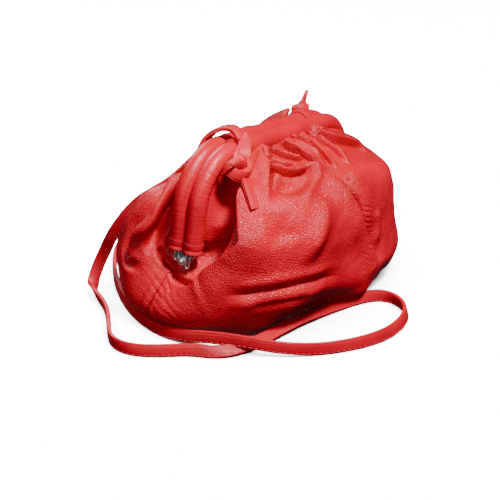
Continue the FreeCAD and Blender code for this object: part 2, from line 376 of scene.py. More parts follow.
# ---- curves and sweeps
def spline_points(name, route):
    """Points in millimetres, read from the NURBS line that a route in metres controls."""
    curve = bpy.data.curves.new(name, "CURVE")
    curve.dimensions = "3D"
    curve.resolution_u = 12
    spline = curve.splines.new("NURBS")
    spline.points.add(len(route) - 1)
    for point, place in zip(spline.points, route):
        point.co = (*place, 1.0)
    spline.order_u = 3
    spline.use_endpoint_u = True
    line = bpy.data.objects.new(name, curve)
    SCENE.collection.objects.link(line)
    mesh = bpy.data.meshes.new_from_object(line)
    points = np.array([vertex.co for vertex in mesh.vertices], float) / MM
    bpy.data.objects.remove(line)
    bpy.data.curves.remove(curve)
    bpy.data.meshes.remove(mesh)
    return points


def run_length(points):
    """Length along a line, at each of its points."""
    steps = np.linalg.norm(np.diff(points, axis=0), axis=1)
    return np.concatenate([[0.0], np.cumsum(steps)])


def read_along(along, values, places):
    """The values given along a line, each a row of numbers, read at places along it."""
    values = np.array(values, float)
    return np.stack([np.interp(places, along, column) for column in values.T], axis=1)


def across_line(points, directions):
    """Directions given at shares of a line's length, made square to the line at each point."""
    along = run_length(points)
    share = along / along[-1]
    turned = read_along([key for key, _ in directions], [value for _, value in directions], share)
    tangent = unit(np.gradient(points, axis=0))
    turned -= tangent * np.sum(turned * tangent, axis=1, keepdims=True)
    return tangent, unit(turned)


def strap_profile(wide=STRAP_WIDE, thick=STRAP_THICK):
    """Two layers of leather face to face: rounded edges, a joint line, and a sewn line."""
    angle = circle(48)
    c, s = np.cos(angle), np.sin(angle)
    across = wide / 2 * np.sign(c) * np.abs(c) ** 0.42
    up = thick / 2 * np.sign(s) * np.abs(s) ** 0.42
    across -= 0.45 * np.sign(c) * bell(up, 0.22) * (np.abs(c) > 0.5)
    up -= 0.22 * np.sign(s) * bell(np.abs(across) - wide * 0.36, 0.45)
    return np.stack([across, up], axis=1)


def sweep(name, points, across, tangent, profile, material, sizes=None):
    """A closed tube of the profile along the points, with flat ends."""
    up = np.cross(tangent, across)
    scale = np.ones((len(points), 2)) if sizes is None else np.asarray(sizes, float)
    wide = across[:, None] * (profile[None, :, 0, None] * scale[:, None, 0:1])
    high = up[:, None] * (profile[None, :, 1, None] * scale[:, None, 1:2])
    rings = points[:, None] + wide + high
    return add_mesh(name, rings.reshape(-1, 3), tube_faces(len(points), len(profile)), material)


def stitches(name, points, tangent, across, up, offset, lift, pitch=3.6, length=2.3, radius=0.3):
    """A row of small sewn stitches beside a line, on the side that `up` shows."""
    along = run_length(points)
    places = np.arange(pitch, along[-1] - pitch, pitch)
    at = read_along(along, points + across * offset + up * lift, places)
    way = unit(read_along(along, tangent, places))
    side = unit(read_along(along, across, places))
    verts, faces = [], []
    around = circle(6)
    for place, t, s, u in zip(at, way, side, np.cross(way, side)):
        start = len(verts)
        for share, fat in ((-0.5, 0.35), (-0.36, 0.85), (0, 1.0), (0.36, 0.85), (0.5, 0.35)):
            for angle in around:
                ring = s * math.cos(angle) + u * math.sin(angle)
                verts.append(place + t * (share * length) + ring * (radius * fat))
        faces += tube_faces(5, 6, start)
    return add_mesh(name, verts, faces, THREAD)


# ---- the shoulder strap
# Route of the strap in metres, from the far knot behind the bag, along the surface it lies
# on, round the front in a long loop, back along the near end and up to the rolls.
STRAP_RUN = [
    (.069, .023, .093), (.075, .038, .084), (.082, .054, .071), (.087, .070, .054),
    (.088, .085, .035), (.085, .096, .018), (.076, .104, .006), (.060, .109, .004),
    (.038, .112, .004), (.014, .112, .004), (-.008, .108, .004), (-.028, .099, .004),
    (-.046, .085, .004), (-.064, .068, .004), (-.080, .048, .004), (-.091, .028, .004),
    (-.097, .007, .004), (-.096, -.012, .006), (-.092, -.032, .009), (-.086, -.050, .009),
    (-.077, -.067, .006), (-.063, -.085, .004), (-.044, -.101, .004), (-.023, -.111, .004),
    (-.003, -.112, .004), (.013, -.107, .004), (.023, -.095, .004), (.024, -.082, .004),
    (.014, -.073, .004), (-.002, -.066, .004), (-.024, -.059, .004), (-.048, -.054, .004),
    (-.070, -.051, .0036), (-.088, -.046, .0036), (-.100, -.036, .0036), (-.106, -.021, .004),
    (-.118, -.007, .004), (-.127, .008, .004), (-.126, .024, .004), (-.114, .036, .004),
    (-.100, .047, .004), (-.089, .059, .004), (-.082, .071, .0045), (-.0765, .0795, .007),
    (-.071, .079, .0175), (-.0685, .0745, .029), (-.0698, .067, .043), (-.0688, .058, .057),
    (-.0648, .048, .070),
    (-.0598, .0395, .077), (-.0565, .031, .0835), (-.0535, .0238, .0905), (-.050, .0186, .0975)]
STRAP_NEAR_END = [
    (-.050, .0186, .0975), (-.0450, .0132, .1045), (-.0415, .0110, .1145), (-.0385, .0062, .1200),
    (-.0358, -.0012, .1230), (-.0350, -.0085, .1225), (-.037, -.0128, .1175)]
# Which way the strap's width points, at shares of its length: on edge where it lies,
# then turning flat to pass over the two rolls.
RUN_WIDTH = [(0.0, (0.6, -0.2, 0.6)), (0.06, (0.3, -0.3, 0.8)), (0.12, (0.1, 0.1, 1.0)),
             (0.40, (0.12, 0.0, 1.0)), (0.52, (0.0, 0.30, 1.0)), (0.60, (0.0, 0.25, 1.0)),
             (0.66, (0.2, 0.9, 0.45)), (0.71, (0.4, 0.8, 0.5)), (0.75, (0.1, 0.3, 1.0)),
             (0.84, (0.1, 0.1, 1.0)), (0.90, (-0.2, 0.7, 0.45)), (0.96, (-0.35, 0.55, 0.45)),
             (1.0, (-0.75, 0.3, 0.3))]
END_WIDTH = [(0.0, (-0.75, 0.3, 0.3)), (0.4, (-1.0, 0.05, 0.05)), (1.0, (-1.0, 0.0, 0.0))]


def strap_line(name, route, width):
    """The flat strap along a route, with its two sewn lines; width is as in RUN_WIDTH."""
    points = spline_points(name, route)
    tangent, across = across_line(points, width)
    piece = sweep(name, points, across, tangent, strap_profile(), STRAP_LEATHER)
    up = np.cross(tangent, across)
    sewn = [stitches(f"{name}_stitches_{side}", points, tangent, across, up * sign,
                     STRAP_WIDE * -0.36, STRAP_THICK / 2 - 0.12)
            for side, sign in (("outer", 1), ("inner", -1))]
    return piece, sewn, points


def make_straps():
    """The long run lies on the floor; its near end passes over both rolls to the near knot."""
    run, run_sewn, run_line = strap_line("shoulder_strap", STRAP_RUN, RUN_WIDTH)
    stand_in(run, POUCH, "strap_run")
    for piece in run_sewn:
        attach(piece, POUCH)
    end, end_sewn, end_line = strap_line("strap_over_the_rolls", STRAP_NEAR_END, END_WIDTH)
    for piece in (end, *end_sewn):
        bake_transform(piece)
    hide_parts("strap_near_end")
    return run_line


def strand(name, places, width, sizes, at=(0.0, 0.0, 0.0), wide=STRAP_WIDE, thick=STRAP_THICK):
    """A short stretch of strap through places about a point in the frame's upright system."""
    points = spline_points(name, from_frame(np.add(at, places)) * MM)
    turned = [(share, FRAME_TURN @ np.array(way, float)) for share, way in width]
    tangent, across = across_line(points, turned)
    along = run_length(points) / run_length(points)[-1]
    scale = read_along([size[0] for size in sizes], [size[1:] for size in sizes], along)
    return sweep(name, points, across, tangent, strap_profile(wide, thick), STRAP_LEATHER, scale)


def join(name, pieces):
    """One object from several, keeping the first one's material."""
    mesh = bpy.data.meshes.new(name)
    verts, faces = [], []
    for piece in pieces:
        start = len(verts)
        verts += [tuple(vertex.co) for vertex in piece.data.vertices]
        faces += [tuple(start + i for i in face.vertices) for face in piece.data.polygons]
    mesh.from_pydata(verts, [], faces)
    mesh.materials.append(pieces[0].data.materials[0])
    mesh.polygons.foreach_set("use_smooth", [True] * len(mesh.polygons))
    for piece in pieces:
        bpy.data.objects.remove(piece)
    whole = bpy.data.objects.new(name, mesh)
    SCENE.collection.objects.link(whole)
    return whole


def make_near_knot():
    """The strap's end goes round the front roll and is tied on itself in an overhand knot."""
    at = (-66.0, -19.3, 62.5)
    band = strand("band",
                  [(21, 13, 13.5), (18, 8, 13), (13, 4, 10), (7, 1.5, 5), (2, 0.5, -1)],
                  [(0, (1, 0.1, 0.5)), (0.5, (0.85, -0.25, 0.4)), (1, (0.8, -0.5, 0.3))],
                  [(0, 0.95, 1.0), (0.4, 1.05, 1.15), (0.75, 1.35, 1.4), (1, 1.0, 1.4)], at)
    # The wrap lies across the front of the knot and turns up and back at both sides.
    wrap = strand("wrap",
                  [(-6.2, 3.8, 2.5), (-7.8, -0.6, -0.2), (-4.2, -5.4, -3.2), (1.6, -7.0, -3.0),
                   (7.0, -4.4, 0.4), (8.2, 0.4, 3.8), (5.0, 4.2, 5.6)],
                  [(0, (0.2, 0.2, 1)), (0.5, (0.0, -0.35, 1)), (1, (0, 0.2, 1))],
                  [(0, 0.8, 1.0), (0.2, 0.95, 1.3), (0.5, 1.0, 1.7), (0.8, 1.0, 1.3), (1, 0.8, 1)], at)
    # A second strand shows as two narrow strips over the wrap's upper corner.
    over = strand("over",
                  [(-7.4, 1.5, -2.5), (-8.2, -1.0, 1.8), (-5.0, -3.4, 5.2), (-0.6, -5.0, 3.4),
                   (2.8, -4.6, 0.2)],
                  [(0, (0.3, -0.6, 0.6)), (0.5, (0.5, -0.4, 0.75)), (1, (0.8, -0.1, 0.6))],
                  [(0, 0.7, 1.0), (0.5, 0.72, 1.3), (1, 0.6, 1.0)], at)
    core = strand("core", [(-3.5, 2.0, -4.0), (0, 0, 0), (4.0, 0.5, 4.5)],
                  [(0, (0.7, -0.3, 0)), (1, (0.7, -0.3, 0))],
                  [(0, 0.7, 2.0), (0.5, 1.35, 3.0), (1, 0.9, 2.2)], at)
    knot = join("near_overhand_knot", [band, wrap, over, core])
    stand_in(knot, FRONT, "near_knot")
    tail = strand("near_strap_tail",
                  [(0.5, -4.5, -1.5), (-0.6, -8.6, -6.4), (-2.4, -13.2, -11.2),
                   (-4.4, -18.6, -16.0), (-5.0, -21.0, -19.5)],
                  [(0, (1, 0, -0.15)), (1, (1, -0.2, 0.05))],
                  [(0, 0.75, 1.0), (0.3, 0.95, 0.95), (1, 1.15, 0.9)], at)
    stand_in(tail, FRONT, "near_tail")


def make_far_knot():
    """The strap's far end is tied behind the rear roll, with its tail pointing up."""
    at = (64.0, 17.6, 68.6)
    wrap = strand("wrap",
                  [(-4.8, -3.2, 0.4), (-5.4, 1.6, -1.5), (-2.0, 4.8, -2.0), (2.6, 4.6, -0.8),
                   (5.0, 0.8, 0.6), (3.4, -3.2, 1.8)],
                  [(0, (0.1, 0, 1)), (0.5, (0, 0.3, 1)), (1, (0, 0, 1))],
                  [(0, 0.7, 0.9), (0.5, 0.8, 1.3), (1, 0.6, 0.9)], at)
    core = strand("core", [(-2.4, -1.4, -3.8), (0, 0, 0), (2.2, 0, 5.4)],
                  [(0, (0.7, -0.3, 0)), (1, (0.7, -0.3, 0))],
                  [(0, 0.8, 2.0), (0.5, 1.0, 2.2), (1, 0.5, 1.1)], at)
    knot = join("far_overhand_knot", [wrap, core])
    stand_in(knot, POUCH, "far_knot")
    tail = strand("far_strap_tail",
                  [(1.0, 0, 3.2), (2.6, 0.2, 6.8), (4.0, 0.3, 9.6), (5.4, 0.4, 12.4)],
                  [(0, (0.85, 0.1, -0.5)), (1, (0.8, 0.3, -0.45))],
                  [(0, 0.85, 0.9), (0.4, 0.7, 0.85), (1, 0.45, 0.8)], at, thick=2.8)
    stand_in(tail, POUCH, "far_tail")


def make_loop(name, side, x, body, node):
    """A band of strap leather drawn round a roll, its ends gathered into the knot."""
    angle = np.radians(np.linspace(-35, 215, 7))
    radius = ROLL_RADIUS + 1.1
    places = [(x + 2.0 * math.cos(a), side * ROLL_Y - radius * math.cos(a),
               ARCH_HEIGHT + radius * math.sin(a)) for a in angle]
    piece = strand(name, places, [(0, (1, 0, 0)), (1, (1, 0, 0))],
                   [(0, 1.0, 1.0), (0.5, 1.06, 1.0), (1, 1.0, 1.0)], wide=10.0, thick=1.9)
    stand_in(piece, body, node)


# ---- the two padded rolls
def wire(name, places, radius, body):
    """A round nickel wire through places in the frame's upright system."""
    points = spline_points(name, from_frame(places) * MM)
    level = FRAME_TURN @ (1.0, 0.0, 0.0)
    tangent, across = across_line(points, [(0, level), (1, level)])
    around = circle(12)
    profile = radius * np.stack([np.cos(around), np.sin(around)], axis=1)
    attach(sweep(name, points, across, tangent, profile, NICKEL), body)


def make_hinge_trim(label, end):
    """At each hinge: a bent nickel strip below each roll, and the rivet's domed head."""
    x = end * (HALF_SPAN + 2.8)
    for word, side, low, body in (("front", -1, -3.0, FRONT), ("rear", 1, 0.2, POUCH)):
        y, half = side * 4.3, 1.35
        wire(f"{label}_{word}_hinge_strip",
             [(x, y - half, 9.0), (x, y - half, 4.0), (x, y - half, low), (x, y, low - 1.0),
              (x, y + half, low), (x, y + half, 4.0), (x, y + half, 9.0)], 0.5, body)
    points = [(x + end * (0.4 + 2.2 * math.sin(lift)), 2.7 * math.cos(lift) * math.cos(a),
               2.7 * math.cos(lift) * math.sin(a))
              for lift in np.linspace(0.0, 1.5, 9) for a in circle(32)]
    dome = add_mesh(f"{label}_rivet_dome", from_frame(points), tube_faces(9, 32), NICKEL)
    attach(dome, POUCH)


# About one turn, in radians: a sine of length / pitch * WAVE repeats at the pitch.
WAVE = 6.28


def arch_line(count):
    """Points along the frame's arch, from the near leg's end over the bar to the far leg's."""
    inner = HALF_SPAN - CORNER_RADIUS
    rise = ARCH_HEIGHT - CORNER_RADIUS
    legs = rise - ROLL_END
    turn = CORNER_RADIUS * math.pi / 2
    along = np.linspace(0, 2 * (legs + turn + inner), count)
    half = np.minimum(along, along[-1] - along)
    angle = np.clip((half - legs) / CORNER_RADIUS, 0, math.pi / 2)
    x = -inner - CORNER_RADIUS * np.cos(angle) + np.maximum(half - legs - turn, 0)
    z = np.minimum(ROLL_END + half, rise) + CORNER_RADIUS * np.sin(angle)
    x *= np.where(along > along[-1] / 2, -1, 1)
    return along, np.stack([x, np.zeros(count), z], axis=1), angle * (angle < math.pi / 2)


def arch_frame(count):
    """The arch's line, and at each point its way along, its way out and its bend."""
    along, centre, angle = arch_line(count)
    tangent = unit(np.gradient(centre, axis=0))
    outward = np.stack([-tangent[:, 2], np.zeros(count), tangent[:, 0]], axis=1)
    return along, centre, tangent, outward, angle


def make_roll(name, side, body, node, seed):
    """A leather tube over foam: creased inside its bends, with a flared and sewn hem."""
    random = np.random.default_rng(seed)
    along, centre, tangent, outward, angle = arch_frame(ROLL_RINGS)
    around = circle(ROLL_SIDES)
    end = np.minimum(along, along[-1] - along)
    bend = np.sin(np.clip(angle / (math.pi / 2), 0, 1) * math.pi)
    radius = np.full((len(along), ROLL_SIDES), ROLL_RADIUS)
    # The padding is a little uneven.
    for pitch, depth in ((41.0, 0.16), (23.0, 0.10), (13.0, 0.05)):
        phase, lobe = random.uniform(0, WAVE, 2)
        radius += depth * np.sin(along / pitch * WAVE + phase)[:, None] * np.cos(around + lobe)
    # Fine creases run across the roll, deepest inside each bend.
    inside = 0.5 - 0.5 * np.sin(around)[None, :]
    wave = np.zeros(len(along))
    for pitch in (2.3, 2.9, 3.7, 5.1):
        drift = np.cumsum(random.normal(0, 0.05, len(along)))
        wave += np.sin(along / pitch * WAVE + drift * 2) / 4
    depth = 0.05 + 0.32 * bend[:, None] * inside
    radius += depth * wave[:, None]
    # Hem: the last few millimetres are turned under, a little wider, with a sewn dip.
    hem = 0.25 * bell(end, 1.1) - 0.35 * bell(end - 2.6, 0.8)
    radius += hem[:, None]
    rings = (centre[:, None] + outward[:, None] * (radius * np.sin(around))[..., None]
             + np.array([0.0, 1.0, 0.0]) * (radius * np.cos(around))[..., None])
    # At each end the leather turns in and goes up inside the roll.
    inner = []
    for index, step in ((0, 1), (len(along) - 1, -1)):
        for share, deep in ((0.93, -0.15), (0.80, 0.2), (0.74, 3.0)):
            inner.append(centre[index] + (rings[index] - centre[index]) * share
                         + tangent[index] * (deep * step))
    points = np.concatenate([inner[2::-1], rings, inner[3:]])
    points[..., 1] += side * ROLL_Y
    rings[..., 1] += side * ROLL_Y
    faces = [tuple(reversed(face)) for face in tube_faces(len(points), ROLL_SIDES)]
    roll = add_mesh(name, from_frame(points.reshape(-1, 3)), faces, ROLL_LEATHER)
    stand_in(roll, body, node)
    # Stitches round each hem.
    for label, index in (("near", 14), ("far", len(along) - 15)):
        ring = from_frame(rings[index])
        ring = np.concatenate([ring, ring[:1]])
        way = unit(np.gradient(ring, axis=0))
        side_way = np.tile(FRAME_TURN @ tangent[index], (len(ring), 1))
        sewn = stitches(f"{name}_{label}_hem_stitches", ring, way, side_way, np.cross(way, side_way),
                        0.0, 0.0, pitch=2.6, length=1.7, radius=0.24)
        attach(sewn, body)


# ---- the pouch
# Level sections of the pouch: height, reach to the near end, far end, front and rear,
# how deep its ends are drawn in between the rolls, its share of the frame's tilt, its turn.
SECTIONS = np.array([
    (0, 80, 76, 46, 42, 0.00, 0.00, -12), (5, 91, 90, 56, 52, 0.00, 0.05, -12),
    (14, 100, 103, 69, 62, 0.02, 0.16, -11), (28, 104, 107, 74, 65, 0.14, 0.50, -8),
    (45, 107, 109, 72, 61, 0.32, 0.90, -4), (62, 105, 109, 70, 51, 0.34, 1.00, -1),
    (78, 97, 107, 63, 37, 0.34, 1.00, 0), (90, 87, 98, 45, 26, 0.30, 1.00, 0),
    (98, 74, 85, 26, 19, 0.20, 1.00, 0), (102, 62, 67, 13, 13, 0.08, 1.00, 0)], float)
# How square the sections are, how wide the drawn-in ends are, and the leather's top edge.
SECTION_POWER = 2.4
PINCH_WIDTH = 0.24
HOLLOW_WIDTH = 0.42
TOP = 102.0
# No fold acts further than this from its stroke.
REACH = 34.0
# The strap's line keeps the leather this far away, and the lining hangs this far inside.
STRAP_GAP = 3.4
LINING_GAP = 3.4
LINING_LOWEST = 2.2
# The rear lining keeps this far behind the hinges, at the front roll's legs.
LEG_ROOM = 12.0


def smooth_through(keys, values, at):
    """Monotone cubic through the keys, so that no section bulges past its neighbours."""
    keys, values, at = (np.asarray(item, float) for item in (keys, values, at))
    gaps = np.diff(keys)
    slopes = np.diff(values) / gaps
    inner = np.zeros(len(keys))
    same = slopes[1:] * slopes[:-1] > 0
    w1, w2 = 2 * gaps[1:] + gaps[:-1], gaps[1:] + 2 * gaps[:-1]
    safe = np.where(slopes == 0, 1.0, slopes)
    mean = (w1 + w2) / (w1 / safe[:-1] + w2 / safe[1:] + 1e-12)
    inner[1:-1] = np.where(same, mean, 0)
    inner[0], inner[-1] = slopes[0], slopes[-1]
    index = np.clip(np.searchsorted(keys, at, side="right") - 1, 0, len(gaps) - 1)
    t = (at - keys[index]) / gaps[index]
    a, b = values[index], values[index + 1]
    m0, m1 = inner[index] * gaps[index], inner[index + 1] * gaps[index]
    return (a * (1 + 2 * t) * (1 - t) ** 2 + m0 * t * (1 - t) ** 2
            + b * t * t * (3 - 2 * t) + m1 * t * t * (t - 1))


def pouch_places(angle, height):
    """Places on the smooth pouch at an angle round it, in degrees, and a height."""
    angle, height = np.broadcast_arrays(np.asarray(angle, float), np.asarray(height, float))
    near, far, front, rear, pinch, share, turn = (
        smooth_through(SECTIONS[:, 0], SECTIONS[:, i], height) for i in range(1, 8))
    c, s = np.cos(np.radians(angle)), np.sin(np.radians(angle))
    long, deep = np.where(c < 0, near, far), np.where(s < 0, front, rear)
    total = np.abs(c / long) ** SECTION_POWER + np.abs(s / deep) ** SECTION_POWER
    reach = total ** (-1 / SECTION_POWER)
    width = np.where((c < 0) & (s < 0), HOLLOW_WIDTH, PINCH_WIDTH)
    reach = reach * (1 - pinch * bell(s, width))
    x, y, z = reach * c, reach * s, height - HINGE_Z
    cz, sz = np.cos(np.radians(turn)), np.sin(np.radians(turn))
    x, y = x * cz - y * sz, x * sz + y * cz
    a, t = LEAN * share, TILT * share
    y, z = y * np.cos(a) - z * np.sin(a), y * np.sin(a) + z * np.cos(a)
    x, z = x * np.cos(t) + z * np.sin(t), -x * np.sin(t) + z * np.cos(t)
    return np.stack([x, y, z + HINGE_Z], axis=-1)


def even_heights(count):
    """Heights that step evenly down the leather, close together where it lies flat."""
    fine = np.linspace(TOP, 0, 1200)
    mean = np.zeros(len(fine))
    for angle in (-150, -120, -90, -60, 60, 120):
        mean += run_length(pouch_places(angle, fine)) / 6
    return np.interp(np.linspace(0, mean[-1], count), mean, fine)


def grid_normals(points):
    """Normals of a grid of places, all pointing out of the pouch."""
    normal = unit(np.cross(np.gradient(points, axis=0), np.gradient(points, axis=1)))
    outward = np.sum(normal * (points - points.mean(axis=(0, 1)))) >= 0
    return normal if outward else -normal


def soft_noise(shape, cells, seed):
    """Smooth random values between -1 and 1 on a grid, with the given number of cells."""
    random = np.random.default_rng(seed)
    coarse = random.uniform(-1, 1, (cells[0] + 2, cells[1] + 2))
    rows, columns = np.linspace(0, cells[0], shape[0]), np.linspace(0, cells[1], shape[1])
    r, c = np.minimum(rows.astype(int), cells[0]), np.minimum(columns.astype(int), cells[1])
    fr, fc = rows - r, columns - c
    fr, fc = (fr * fr * (3 - 2 * fr))[:, None], (fc * fc * (3 - 2 * fc))[None, :]
    a, b = coarse[r][:, c], coarse[r][:, c + 1]
    d, e = coarse[r + 1][:, c], coarse[r + 1][:, c + 1]
    return (a * (1 - fc) + b * fc) * (1 - fr) + (d * (1 - fc) + e * fc) * fr


class Leather:
    """One half of the pouch as a grid: rows run down from the frame, columns round the side."""

    def __init__(self, front, rows, columns):
        self.front = front
        # Each half laps a little over the other at the seams.
        ends = (-180.4, 0.4) if front else (180.4, -0.4)
        angles = np.linspace(*ends, columns)
        heights = even_heights(rows)
        self.angle, self.height = np.meshgrid(angles, heights)
        self.base = pouch_places(self.angle, self.height)
        self.normal = grid_normals(self.base)
        self.push = np.zeros(self.base.shape)
        self.depth = run_length(pouch_places(-100 if front else 100, heights))[:, None]
        self.share = np.linspace(0, 1, columns)[None, :]

    def offset(self, amount):
        """Moves the leather straight out by an amount at each point."""
        self.push += self.normal * np.asarray(amount)[..., None]

    def beside(self, stroke):
        """Signed distance to a stroke, to its right looking along it from outside, and its share."""
        keys = np.arange(len(stroke))
        fine = np.linspace(0, len(stroke) - 1, 12 * (len(stroke) - 1) + 1)
        angles = smooth_through(keys, [place[0] for place in stroke], fine)
        heights = smooth_through(keys, [place[1] for place in stroke], fine)
        line = pouch_places(angles, heights)
        near = np.all((self.base > line.min(axis=0) - REACH)
                      & (self.base < line.max(axis=0) + REACH), axis=-1)
        base, normal = self.base[near], self.normal[near]
        best = np.full(len(base), 1e9)
        side, share, right = np.zeros(len(base)), np.zeros(len(base)), np.zeros(base.shape)
        total = run_length(line)
        for index in range(len(line) - 1):
            way = line[index + 1] - line[index]
            length = np.linalg.norm(way)
            t = np.clip((base - line[index]) @ way / length ** 2, 0, 1)
            away = base - line[index] - t[..., None] * way
            distance = np.linalg.norm(away, axis=-1)
            closer = distance < best
            cross = unit(np.cross(way / length, normal))
            best = np.where(closer, distance, best)
            side = np.where(closer, np.sign(np.sum(away * cross, axis=-1)), side)
            share = np.where(closer, (total[index] + t * length) / total[-1], share)
            right = np.where(closer[..., None], cross, right)
        signed, shares = np.full(self.angle.shape, 1e3), np.zeros(self.angle.shape)
        rights = np.zeros(self.base.shape)
        signed[near], shares[near], rights[near] = best * side, share, right
        return signed, shares, rights

    def taper(self, share, start, end):
        """Fades a stroke in over its first share, if it has one, and out over its last."""
        rise = smoothstep(0, start, share) if start else 1.0
        return rise * smoothstep(0, end, 1 - share)

    def ridge(self, stroke, height, width, start=0.2, end=0.4):
        """A round-backed fold."""
        distance, share, _ = self.beside(stroke)
        self.offset(height * bell(distance, width) * self.taper(share, start, end))

    def trough(self, stroke, depth, width, start=0.2, end=0.3):
        """A hollow with a flat floor and steep sides."""
        distance, share, _ = self.beside(stroke)
        self.offset(-depth * np.exp(-(distance / width) ** 4) * self.taper(share, start, end))

    def cavity(self, stroke, depth, width, start, end):
        """A deep hollow that goes in level, so that its floor is no ledge."""
        distance, share, _ = self.beside(stroke)
        amount = depth * np.exp(-(distance / width) ** 4) * self.taper(share, start, end)
        self.push -= unit(self.normal * (1.0, 1.0, 0.0)) * amount[..., None]

    def crease(self, stroke, depth, width, start=0.2, end=0.3):
        """A sharp-bottomed fold line with soft shoulders."""
        distance, share, _ = self.beside(stroke)
        away = np.abs(distance) / width
        shape = -np.exp(-away) + 0.35 * bell(away - 2.2, 1.1)
        self.offset(depth * shape * self.taper(share, start, end))

    def flap(self, stroke, height, width, lean=0.8, groove=0.5, toward=-1, start=0.0, end=0.4):
        """A fold that stands up and leans over, to the left (toward -1) or right (1)."""
        distance, share, right = self.beside(stroke)
        distance = distance * -toward
        fade = self.taper(share, start, end)
        slow = bell(np.maximum(distance, 0), width)
        fast = bell(np.minimum(distance, 0), 0.28 * width)
        crest = height * slow * fast * fade
        valley = height * groove * bell(distance + 0.62 * width, 0.36 * width) * fade
        self.offset(crest - valley)
        near = bell(distance - 0.15 * width, 0.5 * width)
        self.push += right * (toward * lean * height * near * fade)[..., None]

    def overlap(self, stroke, height, width, drop, toward=-1, start=0.1, end=0.2, lean=1.6):
        """The edge of a broad fold: it stands over the leather beyond it, which lies lower."""
        distance, share, right = self.beside(stroke)
        distance = distance * -toward
        fade = self.taper(share, start, end)
        fold = height * bell(np.maximum(distance, 0), width)
        beyond = -drop * bell(np.minimum(distance, 0), 1.2 * width)
        edge = smoothstep(-1.5, 0.2, distance)
        self.offset((fold * edge + beyond * (1 - edge)) * fade)
        near = bell(distance - 0.6, 2.0)
        self.push += right * (toward * lean * near * fade)[..., None]

    def dent(self, place, depth, wide, high):
        """A hollow (or, with a negative depth, a bulge) about a place."""
        angle, height = place
        level = unit(pouch_places(angle + 1, height) - pouch_places(angle - 1, height))
        away = self.base - pouch_places(angle, height)
        across = away @ level
        rest = np.sqrt(np.maximum(np.sum(away * away, axis=-1) - across ** 2, 0))
        self.offset(-depth * np.exp(-(across / wide) ** 2 - (rest / high) ** 2))

    def crumple(self, place, slant, long, wide, spacing, depth):
        """A patch of broken parallel creases, at a slant in degrees from level."""
        angle, height = place
        level = unit(pouch_places(angle + 1, height) - pouch_places(angle - 1, height))
        up = unit(pouch_places(angle, height + 1) - pouch_places(angle, height - 1))
        c, s = math.cos(math.radians(slant)), math.sin(math.radians(slant))
        away = self.base - pouch_places(angle, height)
        along, across = away @ (level * c + up * s), away @ (up * c - level * s)
        wavy = across + 0.8 * np.sin(along / 4.7 + angle) + 0.45 * np.sin(along / 2.1 + across / 2.9)
        crease = (1 - np.abs(np.sin(math.pi * wavy / spacing))) ** 2
        broken = 0.55 + 0.45 * np.sin(along / 3.3 + np.floor(wavy / spacing) * 2.4)
        patch = np.exp(-(along / long) ** 2 - (across / wide) ** 2)
        self.offset(depth * patch * (0.35 - crease * broken))

    def smoothed(self, rounds):
        """The leather's places with its folds, after rounds of slight smoothing."""
        points = self.base + self.push
        for _ in range(rounds):
            middle = points[1:-1, 1:-1]
            points[1:-1, 1:-1] = middle * 0.5 + neighbour_mean(points) * 0.5
        return points


def gathers(skin, seed, spacing, first, last, reach, height):
    """Pleats that fan out from under a roll, uneven in length and in the way they lean."""
    random = np.random.default_rng(seed)
    angle = first
    step = 1 if last > first else -1
    while (last - angle) * step > 0:
        drift = random.uniform(-4, 4)
        length = reach * random.uniform(0.45, 1.25)
        tall = height * random.uniform(0.6, 1.2)
        toward = 1 if random.uniform() < 0.5 else -1
        bottom = max(TOP - length, 60)
        middle = (TOP + bottom) / 2
        stroke = [(angle, 101.6), (angle + drift * 0.4, middle + 1.5), (angle + drift, bottom)]
        wide = random.uniform(1.9, 3.2)
        skin.flap(stroke, tall, wide, lean=0.6, groove=0.6, toward=toward, end=0.7)
        angle += step * spacing * random.uniform(0.7, 1.35)


def wrinkled(skin, seed, size):
    """Slack in the leather: soft uneven swells, and finer ones where it is gathered."""
    around, down = 320.0, skin.depth[-1, 0]
    edge = np.minimum(skin.share, 1 - skin.share)
    fade = smoothstep(0.0, 0.05, edge) * smoothstep(0, 10, skin.height)
    for cell, depth in ((34.0, 1.5), (17.0, 0.75), (8.0, 0.28), (4.0, 0.10)):
        cells = (max(2, int(down / cell)), max(2, int(around / cell)))
        skin.offset(size * depth * soft_noise(skin.angle.shape, cells, seed + int(cell)) * fade)
    # Creases run down from the gathers, so this noise is long down and narrow across.
    fall = np.exp(-skin.depth / 30.0)
    crumple = soft_noise(skin.angle.shape, (int(down / 16), int(around / 4.5)), seed + 99)
    skin.offset(size * crumple * fall * fade)


